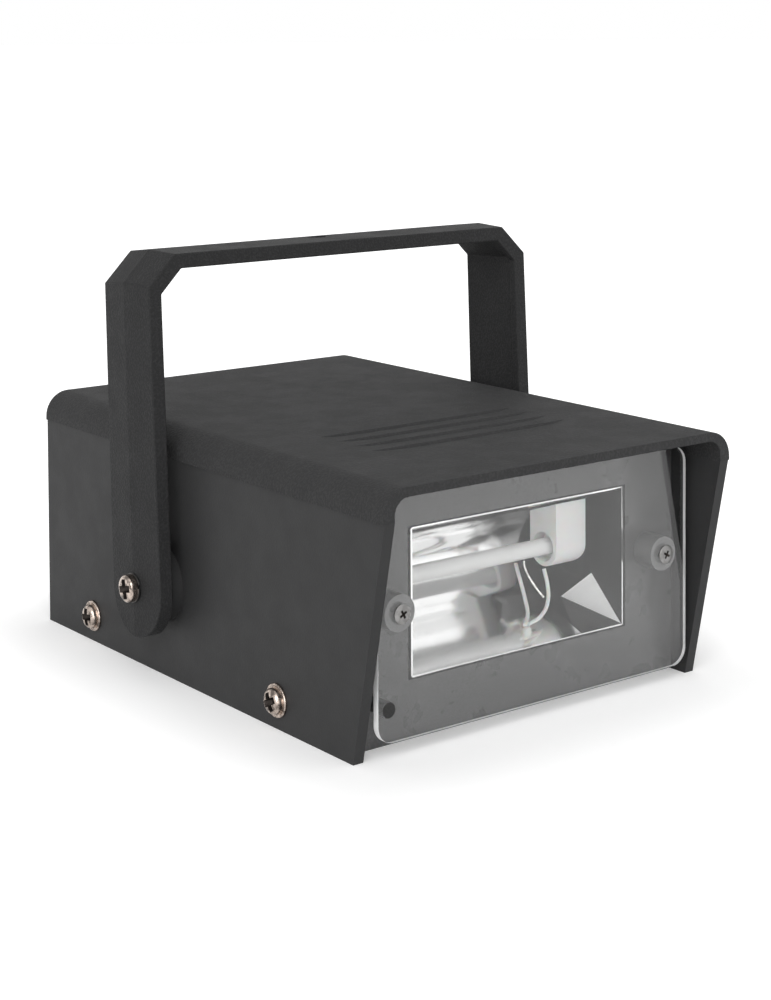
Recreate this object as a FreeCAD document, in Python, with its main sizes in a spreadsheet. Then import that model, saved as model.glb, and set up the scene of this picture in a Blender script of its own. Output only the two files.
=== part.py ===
import FreeCAD, Part
import Sketcher
import math
import os

# Stroboscope lamp: moulded cover with a visor, tray with a mirror trough and flash tube,
# clear window, tilting bracket, and the flash circuit with its speed knob behind.
# Millimetres. X is width, -Y is the front, +Z is up. The origin is the centre of the base.

SIZES = {
    # cover
    "body_width": 88.0,
    "body_depth": 125.5,
    "body_height": 51.9,
    "side_wall": 2.3,
    "top_wall": 1.8,
    "shoulder_radius": 5.4,
    "shoulder_drop": 6.2,
    "shoulder_step": 0.3,
    "front_slant": 9.8,
    # louvre flutes in the top
    "flute_half_length": 25.0,
    "flute_first_place": -17.0,
    "flute_pitch": 5.7,
    "flute_run": 5.4,
    "flute_depth": 0.5,
    "flute_back_run": 0.6,
    "flute_count": 4,
    # tray
    "tray_clearance": 0.2,
    "tray_wall": 2.0,
    "thread_gap": 0.02,
    "panel_place": -48.5,
    "rear_recess": 1.5,
    "flange_height": 11.0,
    "boss_half": 3.2,
    "boss_length": 5.0,
    # stud that the window plate rests on
    "rest_post_radius": 1.5,
    "rest_post_inset": 3.1,
    "rest_post_height": 8.9,
    # window opening, reflector and plate
    "opening_margin_side": 12.2,
    "opening_margin_top": 8.25,
    "opening_low": 12.15,
    "reflector_wall": 0.4,
    "reflector_depth": 20.0,
    "reflector_back_half": 7.0,
    "reflector_end_slope": 30.0,
    "reflector_rim": 2.6,
    "reflector_rim_thickness": 0.8,
    "plate_edge_gap": 1.9,
    "plate_low": 3.0,
    "plate_gap": 5.0,
    "plate_thickness": 1.5,
    "plate_corner": 3.6,
    # window screws and their clear posts
    "window_screw_inset": 5.7,
    "window_screw_rise": 0.8,
    "window_screw_radius": 1.1,
    "window_screw_length": 11.0,
    "window_head_radius": 1.9,
    "window_boss_half": 2.5,
    "window_boss_length": 4.5,
    "post_radius": 3.5,
    "post_bore": 1.3,
    # flash tube, its end holders and leads
    "tube_shift": -3.6,
    "tube_place": -37.6,
    "tube_rise": 1.55,
    "tube_radius": 1.7,
    "tube_overreach": 3.0,
    "tube_glass": 0.4,
    "electrode_length": 10.4,
    "holder_inset": 8.3,
    "holder_length": 11.0,
    "holder_half": 4.0,
    "holder_top_gap": 0.5,
    "holder_bore": 3.0,
    "holder_bore_depth": 2.8,
    "lead_radius": 0.5,
    "lead_gap": 0.2,
    "lead_spread": 3.2,
    "lead_top_depth": 3.45,
    "front_lead_side": 1.0,
    "front_lead_place": -41.6,
    "rear_lead_top_side": -1.0,
    "rear_lead_side": -2.4,
    "rear_lead_place": -38.9,
    "trigger_radius": 0.25,
    "trigger_side": -1.6,
    "trigger_length": 1.5,
    "eyelet_radius": 0.9,
    "eyelet_height": 1.3,
    "eyelet_reach": 2.0,
    "eyelet_side": -7.1,
    "eyelet_place": -44.75,
    # bracket
    "pivot_place": 13.1,
    "pivot_height": 19.4,
    "rest_tilt": 2.45,
    "arm_gap": 3.3,
    "arm_thickness": 3.7,
    "arm_ridge": 0.7,
    "arm_half_width": 9.45,
    "arm_end_level": -0.75,
    "bar_half_width": 8.85,
    "bar_height": 88.2,
    "bracket_chamfer": 6.3,
    "bracket_inner_chamfer": 4.9,
    "rim_width": 1.7,
    "rim_depth": 0.6,
    "bar_hole_radius": 2.5,
    "bar_hole_shift": -2.6,
    # pivot bosses and screws
    "pivot_gap": 0.1,
    "screw_clearance": 0.08,
    "pivot_boss_radius": 8.0,
    "pivot_screw_radius": 1.5,
    "pivot_screw_overrun": 3.0,
    "pivot_head_radius": 2.8,
    "pivot_head_height": 1.6,
    # cover screws
    "cover_screw_rear": 42.4,
    "cover_screw_front": -28.7,
    "cover_screw_height": 5.6,
    "cover_screw_radius": 1.45,
    "cover_screw_length": 8.0,
    "cover_head_radius": 3.3,
    "cover_head_height": 1.9,
    # circuit
    "board_side_gap": 9.2,
    "board_front": -14.0,
    "board_rear": 46.0,
    "board_level": 6.5,
    "board_thickness": 1.6,
    "board_post_half": 2.4,
    "board_hole_inset": 4.0,
    "board_peg_half": 1.1,
    "board_peg_height": 1.2,
    "leg_half": 0.4,
    "leg_length": 1.0,
    "capacitor_width": 12.0,
    "capacitor_height": 21.0,
    "capacitor_right_inset": 8.5,
    "capacitor_left_inset": 24.5,
    "capacitor_place": -4.0,
    "capacitor_pitch": 14.0,
    "transformer_half": 5.0,
    "transformer_height": 15.0,
    "transformer_inset": 10.0,
    "transformer_place": 4.0,
    "resistor_length": 24.0,
    "resistor_width": 9.0,
    "resistor_place": 24.0,
    "diode_length": 6.0,
    "diode_half": 1.4,
    "diode_pitch": 5.0,
    "diode_place": 18.0,
    "diode_inset": 8.0,
    # speed control and cord inlet
    "knob_inset": 21.2,
    "knob_height": 26.0,
    "knob_radius": 6.6,
    "knob_length": 10.5,
    "knob_skirt_radius": 7.5,
    "knob_skirt": 2.0,
    "knob_gap": 0.5,
    "knob_pointer_width": 1.0,
    "knob_pointer_depth": 0.4,
    "shaft_radius": 3.0,
    "shaft_inside": 6.0,
    "shaft_engage": 7.5,
    "shaft_clearance": 0.05,
    "control_half": 8.2,
    "control_depth": 8.5,
    "bush_radius": 3.5,
    "bush_nut_flat": 5.0,
    "bush_nut_height": 1.8,
    "inlet_inset": 21.2,
    "inlet_height": 15.0,
    "inlet_radius": 4.2,
    "inlet_bore": 2.8,
    "inlet_flange_radius": 6.0,
    "inlet_flange": 1.6,
    # cutting tools run this far past what they cut
    "overrun": 2.0,
}

# places of the flute's sections along its half length, from the middle out
FLUTE_PLACE_SHARES = (0.0, 0.6, 0.87, 0.999)
# how much of the largest radius that fits the mirror's back is rounded
MIRROR_ROUND_SHARE = 0.98
RIGHT_ANGLE = 90
# heights of the leads' bends, as shares of the way up from the bead to their tops
FRONT_BEND_SHARE = 0.31
REAR_BEND_SHARE = 0.25
# how far a wire's volume may be from its section times its length
WIRE_VOLUME_SHARE = 0.02
# the sweep's kind of corner that carries both runs on to where they meet
MITRED = 1
NUT_SIDES = 6
KNOB_SIDES = 12
CAPACITOR_COUNT = 2
DIODE_COUNT = 2

doc = FreeCAD.newDocument("stroboscope")
sheet = doc.addObject("Spreadsheet::Sheet", "Sizes")
for row, (alias, number) in enumerate(SIZES.items(), 1):
    sheet.set(f"A{row}", str(number))
    sheet.setAlias(f"A{row}", alias)
doc.recompute()


class Size:
    """A length with the sheet formula that gives it, so features can be bound to it."""

    def __init__(self, text, number):
        self.text = text
        self.number = number

    def joined(self, sign, other, number):
        return Size(f"({self.text} {sign} {size(other).text})", number)

    def __add__(self, other):
        return self.joined("+", other, self.number + size(other).number)

    def __sub__(self, other):
        return self.joined("-", other, self.number - size(other).number)

    def __mul__(self, other):
        return self.joined("*", other, self.number * size(other).number)

    def __truediv__(self, other):
        return self.joined("/", other, self.number / size(other).number)

    def __neg__(self):
        return Size(f"(0 - {self.text})", -self.number)


def size(thing):
    """Anything that stands for a length, as a Size."""
    if isinstance(thing, Size):
        return thing
    return Size(repr(float(thing)), float(thing))


class Sizes:
    """The sheet's cells, each as a Size."""

    def __getattr__(self, alias):
        return Size(f"Sizes.{alias}", float(getattr(sheet, alias)))


s = Sizes()
zero = size(0)


def tangent(angle):
    return Size(f"tan({angle.text})", math.tan(math.radians(angle.number)))


def cosine(angle):
    return Size(f"cos({angle.text})", math.cos(math.radians(angle.number)))


def root(value):
    return Size(f"sqrt({value.text})", math.sqrt(value.number))


# Building blocks

def new_body(label):
    body = doc.addObject("PartDesign::Body", label)
    body.Label = label
    return body


def new_sketch(body, plane, offset=zero):
    """A sketch on one of the body's own origin planes, moved along that plane's normal."""
    sketch = body.newObject("Sketcher::SketchObject", "Sketch")
    support = [face for face in body.Origin.OriginFeatures if face.Role == plane][0]
    sketch.AttachmentSupport = [(support, "")]
    sketch.MapMode = "FlatFace"
    sketch.setExpression("AttachmentOffset.Base.z", offset.text)
    return sketch


def bind(sketch, constraint, value):
    index = sketch.addConstraint(constraint)
    sketch.setExpression(f"Constraints[{index}]", value.text)


def place_point(sketch, line, end, point):
    """Fix one end of a sketch line at a point given in sizes."""
    across, up = (size(value) for value in point)
    bind(sketch, Sketcher.Constraint("DistanceX", -1, 1, line, end, across.number), across)
    bind(sketch, Sketcher.Constraint("DistanceY", -1, 1, line, end, up.number), up)


def draw_outline(sketch, points, arcs=()):
    """A closed outline; arcs holds the numbers of the runs along H that are half circles, bulging left."""
    count = len(points)
    flat = [FreeCAD.Vector(size(across).number, size(up).number, 0) for across, up in points]
    lines = []
    for number in range(count):
        start, stop = flat[number], flat[(number + 1) % count]
        if number in arcs:
            middle = (start + stop) / 2
            reach = (stop - start) / 2
            bulge = middle + FreeCAD.Vector(-reach.y, reach.x, 0)
            lines.append(sketch.addGeometry(Part.Arc(stop, bulge, start), False))
        else:
            lines.append(sketch.addGeometry(Part.LineSegment(start, stop), False))
    for number in range(count):
        this, after = lines[number], lines[(number + 1) % count]
        this_end = end_mark(sketch, this, flat[(number + 1) % count])
        after_end = end_mark(sketch, after, flat[(number + 1) % count])
        sketch.addConstraint(Sketcher.Constraint("Coincident", this, this_end, after, after_end))
        place_point(sketch, this, this_end, points[(number + 1) % count])
        if number in arcs:
            level = size(points[number][1])
            bind(sketch, Sketcher.Constraint("DistanceY", -1, 1, this, 3, level.number), level)
    return sketch


def end_mark(sketch, line, point):
    """1 or 2, whichever end of the sketch line lies at the point."""
    near = sketch.Geometry[line].StartPoint.distanceToPoint(point)
    far = sketch.Geometry[line].EndPoint.distanceToPoint(point)
    return 1 if near < far else 2


def draw_circle(sketch, centre, radius):
    across, up = (size(value) for value in centre)
    middle = FreeCAD.Vector(across.number, up.number, 0)
    line = sketch.addGeometry(Part.Circle(middle, FreeCAD.Vector(0, 0, 1), radius.number), False)
    bind(sketch, Sketcher.Constraint("DistanceX", -1, 1, line, 3, across.number), across)
    bind(sketch, Sketcher.Constraint("DistanceY", -1, 1, line, 3, up.number), up)
    bind(sketch, Sketcher.Constraint("Radius", line, radius.number), radius)
    return sketch


def box_points(left, low, right, high):
    return [(left, low), (right, low), (right, high), (left, high)]


def finish_feature(body, feature, grows):
    """Recompute, and make sure that the feature added or removed material."""
    before = feature.BaseFeature.Shape.Volume if feature.BaseFeature else 0
    body.Tip = feature
    doc.recompute()
    if feature.Shape.isNull():
        raise RuntimeError(f"{body.Label}: {feature.Name} failed: {feature.getStatusString()}")
    after = feature.Shape.Volume
    if (after <= before) if grows else (after >= before):
        raise RuntimeError(f"{body.Label}: {feature.Name} changed nothing")
    return feature


def pad(body, sketch, length, middle=False, reverse=False):
    feature = body.newObject("PartDesign::Pad", "Pad")
    feature.Profile = sketch
    feature.Midplane = middle
    feature.Reversed = reverse
    feature.setExpression("Length", size(length).text)
    sketch.Visibility = False
    return finish_feature(body, feature, True)


def pocket(body, sketch, length, middle=False, reverse=False):
    feature = body.newObject("PartDesign::Pocket", "Pocket")
    feature.Profile = sketch
    feature.Midplane = middle
    feature.Reversed = reverse
    feature.setExpression("Length", size(length).text)
    return finish_feature(body, feature, False)


def revolve(body, sketch, axis="H_Axis", cut=False):
    kind = "PartDesign::Groove" if cut else "PartDesign::Revolution"
    feature = body.newObject(kind, "Turned")
    feature.Profile = sketch
    feature.ReferenceAxis = (sketch, [axis])
    feature.Angle = 360
    return finish_feature(body, feature, not cut)


def edges_where(feature, test):
    """Names of the feature's edges whose middle passes the test."""
    names = []
    for number, edge in enumerate(feature.Shape.Edges, 1):
        middle = edge.valueAt((edge.FirstParameter + edge.LastParameter) / 2)
        if test(edge, middle):
            names.append(f"Edge{number}")
    return names


def round_edges(body, test, radius, kind="PartDesign::Fillet"):
    base = body.Tip
    feature = body.newObject(kind, "Rounded")
    feature.Base = (base, edges_where(base, test))
    feature.setExpression("Radius" if kind.endswith("Fillet") else "Size", radius.text)
    body.Tip = feature
    doc.recompute()
    if not feature.Base[1] or feature.Shape.isNull():
        raise RuntimeError(f"{body.Label}: {feature.Name} rounded nothing")
    return feature


def group(label, pieces):
    """Identical or matching pieces under one name, each its own solid."""
    joined = doc.addObject("Part::Compound", label)
    joined.Label = label
    joined.Links = pieces
    return joined


def turned(label, axis, points):
    """A piece turned about X from (x, radius) points, or about Y or Z from (radius, length) points."""
    plane = "XZ_Plane" if axis == "Z" else "XY_Plane"
    body = new_body(label)
    revolve(body, draw_outline(new_sketch(body, plane), points), "H_Axis" if axis == "X" else "V_Axis")
    return body


def moved(thing, across=zero, along=zero, up=zero):
    for letter, value in zip("xyz", (across, along, up)):
        thing.setExpression(f"Placement.Base.{letter}", size(value).text)
    return thing


def mirror_image(source):
    """The same piece on the other side of the X = 0 plane."""
    other = doc.addObject("Part::Mirroring", f"{source.Name}_other")
    other.Source = source
    other.Normal = (1, 0, 0)
    return other


def mirrored_pair(label, source, across=zero, along=zero, up=zero):
    """A piece and its mirror image, moved together."""
    return moved(group(label, [source, mirror_image(source)]), across, along, up)


# Places that several pieces share

half_width = s.body_width / 2
wall_outer = half_width - s.shoulder_step
wall_inner = wall_outer - s.side_wall
step_level = s.body_height - s.shoulder_drop
front_edge = -s.body_depth / 2
rear_face = s.body_depth / 2 - s.rear_recess
tray_half = wall_inner - s.tray_clearance
tray_roof = s.body_height - s.top_wall - s.tray_clearance
inner_corner = s.shoulder_radius - s.side_wall
tray_corner = inner_corner - s.tray_clearance
panel_back = s.panel_place + s.tray_wall
plate_back = s.panel_place - s.plate_gap
plate_front = plate_back - s.plate_thickness
plate_half_width = wall_inner - s.plate_edge_gap
plate_high = s.body_height - s.top_wall - s.plate_edge_gap
plate_middle = (s.plate_low + plate_high) / 2
opening_half_width = plate_half_width - s.opening_margin_side
opening_high = plate_high - s.opening_margin_top
opening_middle = (s.opening_low + opening_high) / 2
reflector_back = s.panel_place + s.reflector_depth
# how far the mirror's upper and lower walls close in over their depth, and their length over their depth
side_fall = ((opening_high - s.opening_low) / 2 - s.reflector_back_half) / s.reflector_depth
side_stretch = root(side_fall * side_fall + 1)
window_screw_side = plate_half_width - s.window_screw_inset
window_screw_height = plate_middle + s.window_screw_rise
tube_height = opening_middle + s.tube_rise
holder_face = opening_half_width - s.holder_inset
right_face = holder_face + s.tube_shift
arm_inner = wall_outer + s.arm_gap
arm_outer = arm_inner + s.arm_thickness
bar_top = s.bar_height - s.pivot_height
board_top = s.board_level + s.board_thickness
board_half_width = tray_half - s.board_side_gap
board_hole_side = board_half_width - s.board_hole_inset
knob_side = tray_half - s.knob_inset
inlet_side = s.inlet_inset - tray_half
screw_bore = s.pivot_screw_radius + s.screw_clearance
cover_screw_places = (s.cover_screw_front, s.cover_screw_rear)
board_hole_places = [
    (across, along)
    for across in (-board_hole_side, board_hole_side)
    for along in (s.board_front + s.board_hole_inset, s.board_rear - s.board_hole_inset)
]
NEAR = 0.01


def at(value, target):
    return abs(value - size(target).number) < NEAR


# Cover

def make_cover():
    body = new_body("cover")
    outline = [
        (-wall_outer, zero), (wall_outer, zero), (wall_outer, step_level), (half_width, step_level),
        (half_width, s.body_height), (-half_width, s.body_height), (-half_width, step_level),
        (-wall_outer, step_level),
    ]
    pad(body, draw_outline(new_sketch(body, "XZ_Plane"), outline), s.body_depth, middle=True)
    round_edges(body, lambda edge, mid: at(abs(mid.x), half_width) and at(mid.z, s.body_height),
                s.shoulder_radius)
    ceiling = s.body_height - s.top_wall
    hollow = box_points(-wall_inner, -s.overrun, wall_inner, ceiling)
    pocket(body, draw_outline(new_sketch(body, "XZ_Plane"), hollow), s.body_depth + s.overrun, middle=True)
    round_edges(body, lambda edge, mid: at(abs(mid.x), wall_inner) and at(mid.z, ceiling), inner_corner)
    lean = s.front_slant / step_level
    slant = [
        (front_edge - s.overrun, -s.overrun), (front_edge + s.front_slant + lean * s.overrun, -s.overrun),
        (front_edge, step_level), (front_edge - s.overrun, step_level),
    ]
    pocket(body, draw_outline(new_sketch(body, "YZ_Plane"), slant), s.body_width + s.overrun, middle=True)
    holes = new_sketch(body, "YZ_Plane")
    for place in cover_screw_places:
        draw_circle(holes, (place, s.cover_screw_height), s.cover_screw_radius + s.screw_clearance)
    pocket(body, holes, s.body_width + s.overrun, middle=True)
    for side in (-1, 1):
        boss = draw_circle(new_sketch(body, "YZ_Plane", wall_outer * side), (s.pivot_place, s.pivot_height),
                           s.pivot_boss_radius)
        pad(body, boss, arm_inner - s.pivot_gap - wall_outer, reverse=side < 0)
    pivots = draw_circle(new_sketch(body, "YZ_Plane"), (s.pivot_place, s.pivot_height),
                         s.pivot_screw_radius + s.thread_gap)
    pocket(body, pivots, arm_outer * 2, middle=True)
    cut_flutes(body)
    return body


def flute_outline(share):
    """Section of a louvre flute: a steep back and a long front slope, smaller towards its ends."""
    deep = s.body_height - s.flute_depth * share
    front = s.flute_first_place - s.flute_run * share
    above = s.body_height + s.overrun
    return [
        (s.flute_first_place, above), (s.flute_first_place, s.body_height),
        (s.flute_first_place - s.flute_back_run * share, deep), (front, s.body_height), (front, above),
    ]


def cut_flutes(body):
    places = [-share for share in reversed(FLUTE_PLACE_SHARES)] + list(FLUTE_PLACE_SHARES[1:])
    sections = []
    for place in places:
        sketch = new_sketch(body, "YZ_Plane", s.flute_half_length * place)
        sections.append(draw_outline(sketch, flute_outline(math.sqrt(1 - place ** 4))))
    flute = body.newObject("PartDesign::SubtractiveLoft", "Flute")
    flute.Profile = sections[0]
    flute.Sections = sections[1:]
    flute.Ruled = True
    finish_feature(body, flute, False)
    pattern = body.newObject("PartDesign::LinearPattern", "Flutes")
    pattern.Originals = [flute]
    forward = [axis for axis in body.Origin.OriginFeatures if axis.Role == "Y_Axis"][0]
    pattern.Direction = (forward, [""])
    pattern.Reversed = True
    pattern.setExpression("Length", (s.flute_pitch * (s.flute_count - 1)).text)
    pattern.setExpression("Occurrences", s.flute_count.text)
    doc.recompute()
    finish_feature(body, pattern, False)


# Tray: floor, front and rear panels, side flanges, bosses and posts in one moulding

def make_tray():
    body = new_body("tray")
    section = [
        (s.panel_place, zero), (rear_face, zero), (rear_face, tray_roof),
        (rear_face - s.tray_wall, tray_roof), (rear_face - s.tray_wall, s.tray_wall),
        (panel_back, s.tray_wall), (panel_back, tray_roof), (s.panel_place, tray_roof),
    ]
    pad(body, draw_outline(new_sketch(body, "YZ_Plane"), section), tray_half * 2, middle=True)
    round_edges(body, lambda edge, mid: at(abs(mid.x), tray_half) and at(mid.z, tray_roof), tray_corner)
    for side in (-1, 1):
        left, right = sorted((tray_half * side, (tray_half - s.tray_wall) * side), key=lambda edge: edge.number)
        flange = box_points(left, s.panel_place, right, rear_face)
        pad(body, draw_outline(new_sketch(body, "XY_Plane"), flange), s.flange_height)
        bosses = new_sketch(body, "YZ_Plane", (tray_half - s.boss_length) * side)
        for place in cover_screw_places:
            boss = box_points(place - s.boss_half, zero, place + s.boss_half, s.cover_screw_height + s.boss_half)
            draw_outline(bosses, boss)
        pad(body, bosses, s.boss_length, reverse=side < 0)
    pilots = new_sketch(body, "YZ_Plane")
    for place in cover_screw_places:
        draw_circle(pilots, (place, s.cover_screw_height), s.cover_screw_radius + s.thread_gap)
    pocket(body, pilots, s.body_width, middle=True)
    add_board_posts(body)
    add_window_bosses(body)
    cut_panel_holes(body)
    return body


def square_points(place, half):
    across, along = place
    return box_points(across - half, along - half, across + half, along + half)


def add_board_posts(body):
    """Square posts that the board rests on, each with a peg through the board."""
    posts = new_sketch(body, "XY_Plane")
    for place in board_hole_places:
        draw_outline(posts, square_points(place, s.board_post_half))
    pad(body, posts, s.board_level)
    pegs = new_sketch(body, "XY_Plane", s.board_level)
    for place in board_hole_places:
        draw_outline(pegs, square_points(place, s.board_peg_half))
    pad(body, pegs, s.board_thickness + s.board_peg_height)


def add_window_bosses(body):
    bosses = new_sketch(body, "XZ_Plane", -s.panel_place)
    pilots = new_sketch(body, "XZ_Plane", s.overrun - s.panel_place)
    for side in (-1, 1):
        place = (window_screw_side * side, window_screw_height)
        draw_outline(bosses, square_points(place, s.window_boss_half))
        draw_circle(pilots, place, s.window_screw_radius + s.thread_gap)
    pad(body, bosses, s.tray_wall + s.window_boss_length, reverse=True)
    pocket(body, pilots, s.tray_wall + s.window_boss_length + s.overrun * 2)
    rest = draw_circle(new_sketch(body, "XZ_Plane", -s.panel_place),
                       (s.rest_post_inset - plate_half_width, s.rest_post_height), s.rest_post_radius)
    pad(body, rest, s.plate_gap)


def cut_panel_holes(body):
    side_room = s.reflector_wall / cosine(s.reflector_end_slope) + s.tray_clearance
    level_room = s.reflector_wall * side_stretch + s.tray_clearance
    window = box_points(-opening_half_width - side_room, s.opening_low - level_room,
                        opening_half_width + side_room, opening_high + level_room)
    front = new_sketch(body, "XZ_Plane", s.overrun - s.panel_place)
    pocket(body, draw_outline(front, window), s.tray_wall + s.overrun * 2)
    rear = new_sketch(body, "XZ_Plane", s.tray_wall + s.overrun - rear_face)
    draw_circle(rear, (knob_side, s.knob_height), s.bush_radius + s.thread_gap)
    draw_circle(rear, (inlet_side, s.inlet_height), s.inlet_radius + s.thread_gap)
    pocket(body, rear, s.tray_wall + s.overrun * 2)


# Mirror trough behind the window: sloped walls and ends round a deep curved back

def mirror_form(label, wall, over):
    """The trough's space, grown by a wall and run out past its open front."""
    body = new_body(label)
    front = s.panel_place - over
    back = reflector_back + wall
    depth = back - front
    half_front = (opening_high - s.opening_low) / 2 + wall * side_stretch + over * side_fall
    half_back = half_front - depth * side_fall
    section = [
        (front, opening_middle - half_front), (back, opening_middle - half_back),
        (back, opening_middle + half_back), (front, opening_middle + half_front),
    ]
    widest = opening_half_width + s.overrun * 2
    pad(body, draw_outline(new_sketch(body, "YZ_Plane"), section), widest * 2, middle=True)
    roundness = half_back * (side_stretch + side_fall) * MIRROR_ROUND_SHARE
    round_edges(body, lambda edge, mid: at(mid.x, 0) and at(mid.y, back), roundness)
    lean = tangent(s.reflector_end_slope)
    end_front = opening_half_width + wall / cosine(s.reflector_end_slope) + over * lean
    for side in (-1, 1):
        outer = (widest + s.overrun) * side
        end = [
            (end_front * side, front), (outer, front), (outer, back + s.overrun),
            ((end_front - (depth + s.overrun) * lean) * side, back + s.overrun),
        ]
        pocket(body, draw_outline(new_sketch(body, "XY_Plane"), end), s.body_height * 2, middle=True)
    return body


def make_reflector():
    outside = mirror_form("mirror_outside", s.reflector_wall, zero)
    rim = box_points(-opening_half_width - s.reflector_rim, s.opening_low - s.reflector_rim,
                     opening_half_width + s.reflector_rim, opening_high + s.reflector_rim)
    pad(outside, draw_outline(new_sketch(outside, "XZ_Plane", -panel_back), rim), s.reflector_rim_thickness,
        reverse=True)
    holes = draw_outline(new_sketch(outside, "YZ_Plane"), holder_outline(s.tray_clearance), arcs=(0,))
    pocket(outside, holes, s.body_width, middle=True)
    lead_hole = draw_circle(new_sketch(outside, "XY_Plane", opening_middle),
                            (right_face + s.eyelet_side, s.eyelet_place), s.eyelet_radius)
    pocket(outside, lead_hole, opening_middle)
    trough = doc.addObject("Part::Cut", "reflector")
    trough.Base = outside
    trough.Tool = mirror_form("mirror_inside", zero, s.overrun)
    doc.recompute()


# Clear window plate, its posts and screws

def make_window_plate():
    body = new_body("window_plate")
    outline = box_points(-plate_half_width, s.plate_low, plate_half_width, plate_high)
    pad(body, draw_outline(new_sketch(body, "XZ_Plane", -plate_back), outline), s.plate_thickness)
    round_edges(body, lambda edge, mid: at(abs(mid.x), plate_half_width) and not at(mid.z, plate_middle),
                s.plate_corner)
    holes = new_sketch(body, "XZ_Plane", -plate_back + s.plate_thickness)
    for side in (-1, 1):
        draw_circle(holes, (window_screw_side * side, window_screw_height),
                    s.window_screw_radius + s.screw_clearance)
    pocket(body, holes, s.plate_thickness + s.overrun)
    round_edges(body, lambda edge, mid: edge.isClosed() and at(mid.y, plate_front),
                s.window_head_radius - s.window_screw_radius, "PartDesign::Chamfer")
    return body


def make_window_fixings():
    places = [(window_screw_side * side, zero, window_screw_height) for side in (-1, 1)]
    post = box_points(s.post_bore, plate_back, s.post_radius, s.panel_place)
    group("window_posts", [moved(turned("window_post", "Y", post), *place) for place in places])
    tip = plate_front + s.window_screw_length
    screw = [
        (zero, plate_front), (s.window_head_radius, plate_front),
        (s.window_screw_radius, plate_front + s.window_head_radius - s.window_screw_radius),
        (s.window_screw_radius, tip), (zero, tip),
    ]
    group("window_screws", [moved(turned("window_screw", "Y", screw), *place) for place in places])


# Flash tube, its end holders and its leads

def wall_rise(place):
    """How far the mirror's upper and lower walls have closed in at a place along Y."""
    return (place - s.panel_place) * side_fall


def holder_outline(grow):
    """Side view of a holder: round under the tube, and up to just under the mirror's sloped upper wall."""
    front = s.tube_place - s.holder_half
    back = s.tube_place + s.holder_half
    ceiling = opening_high - s.holder_top_gap + grow
    return [
        (back + grow, tube_height), (front - grow, tube_height),
        (front - grow, ceiling - wall_rise(front)), (back + grow, ceiling - wall_rise(back)),
    ]


def make_holder():
    body = new_body("holder")
    outline = draw_outline(new_sketch(body, "YZ_Plane", holder_face), holder_outline(zero), arcs=(0,))
    pad(body, outline, s.holder_length)
    hole = draw_circle(new_sketch(body, "YZ_Plane", holder_face - s.overrun), (s.tube_place, tube_height),
                       s.holder_bore)
    pocket(body, hole, s.holder_bore_depth + s.overrun, reverse=True)
    bore = draw_circle(new_sketch(body, "YZ_Plane"), (s.tube_place, tube_height), s.tube_radius + s.thread_gap)
    pocket(body, bore, s.body_width, reverse=True)
    return body


def make_flash_tube():
    end = opening_half_width + s.tube_overreach
    inner = s.tube_radius - s.tube_glass
    tube = turned("xenon_tube", "X", box_points(-end, inner, end, s.tube_radius))
    moved(tube, s.tube_shift, s.tube_place, tube_height)
    half = (inner - s.thread_gap) * cosine(size(RIGHT_ANGLE / 2))
    electrode = new_body("electrode")
    rod = new_sketch(electrode, "YZ_Plane", end - s.electrode_length)
    pad(electrode, draw_outline(rod, square_points((zero, zero), half)), s.electrode_length)
    mirrored_pair("tube_electrodes", electrode, s.tube_shift, s.tube_place, tube_height)
    mirrored_pair("tube_holders", make_holder(), s.tube_shift)


def make_wire(label, points, radius):
    """A round wire through the points, mitred where it turns."""
    corners = [FreeCAD.Vector(*(size(value).number for value in point)) for point in points]
    path = Part.makePolygon(corners)
    ring = Part.Wire([Part.makeCircle(radius.number, corners[0], corners[1] - corners[0])])
    wire = path.makePipeShell([ring], True, False, MITRED)
    expected = math.pi * radius.number ** 2 * path.Length
    if abs(wire.Volume - expected) > expected * WIRE_VOLUME_SHARE:
        raise RuntimeError(f"{label}: the wire's volume is {wire.Volume}, not {expected}")
    feature = doc.addObject("Part::Feature", label)
    feature.Label = label
    feature.Shape = wire
    return feature


def wall_level(place):
    """Height of the mirror's lower wall, inside, at a place along Y."""
    return s.opening_low + wall_rise(place)


def make_leads():
    """Two sleeved leads from the right holder to a bead in the mirror's lower wall, and the trigger wire."""
    low = wall_level(s.eyelet_place) + s.eyelet_height + s.lead_radius
    high = tube_height - s.lead_top_depth
    bead_side = right_face + s.eyelet_side
    end_side = s.lead_radius + s.lead_gap
    front_side = right_face + s.front_lead_side
    front_bend = (front_side, s.front_lead_place, low + (high - low) * FRONT_BEND_SHARE)
    rear_bend = (right_face + s.rear_lead_side, s.rear_lead_place, low + (high - low) * REAR_BEND_SHARE)
    group("lamp_leads", [
        make_wire("front_lead", [(front_side, s.tube_place - s.lead_spread, high), front_bend,
                                 (bead_side + end_side, s.eyelet_place, low)], s.lead_radius),
        make_wire("rear_lead", [(right_face + s.rear_lead_top_side, s.tube_place + s.lead_spread, high), rear_bend,
                                (bead_side - end_side, s.eyelet_place, low)], s.lead_radius),
    ])
    side = s.trigger_radius + s.lead_gap
    tube_under = tube_height - s.tube_radius - side
    trigger_side = right_face + s.trigger_side
    make_wire("trigger_wire", [
        (trigger_side, s.tube_place, tube_under), (trigger_side, s.tube_place, tube_under - s.trigger_length),
        (front_side - s.lead_radius - side, s.front_lead_place, front_bend[2] + s.lead_radius),
    ], s.trigger_radius)
    bead = turned("lead_eyelet", "Z", box_points(zero, -s.eyelet_reach, s.eyelet_radius, s.eyelet_height))
    moved(bead, bead_side, s.eyelet_place, wall_level(s.eyelet_place))


# Bracket: flat arms with a faint ridge, joined by a bar with sloped corners

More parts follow.
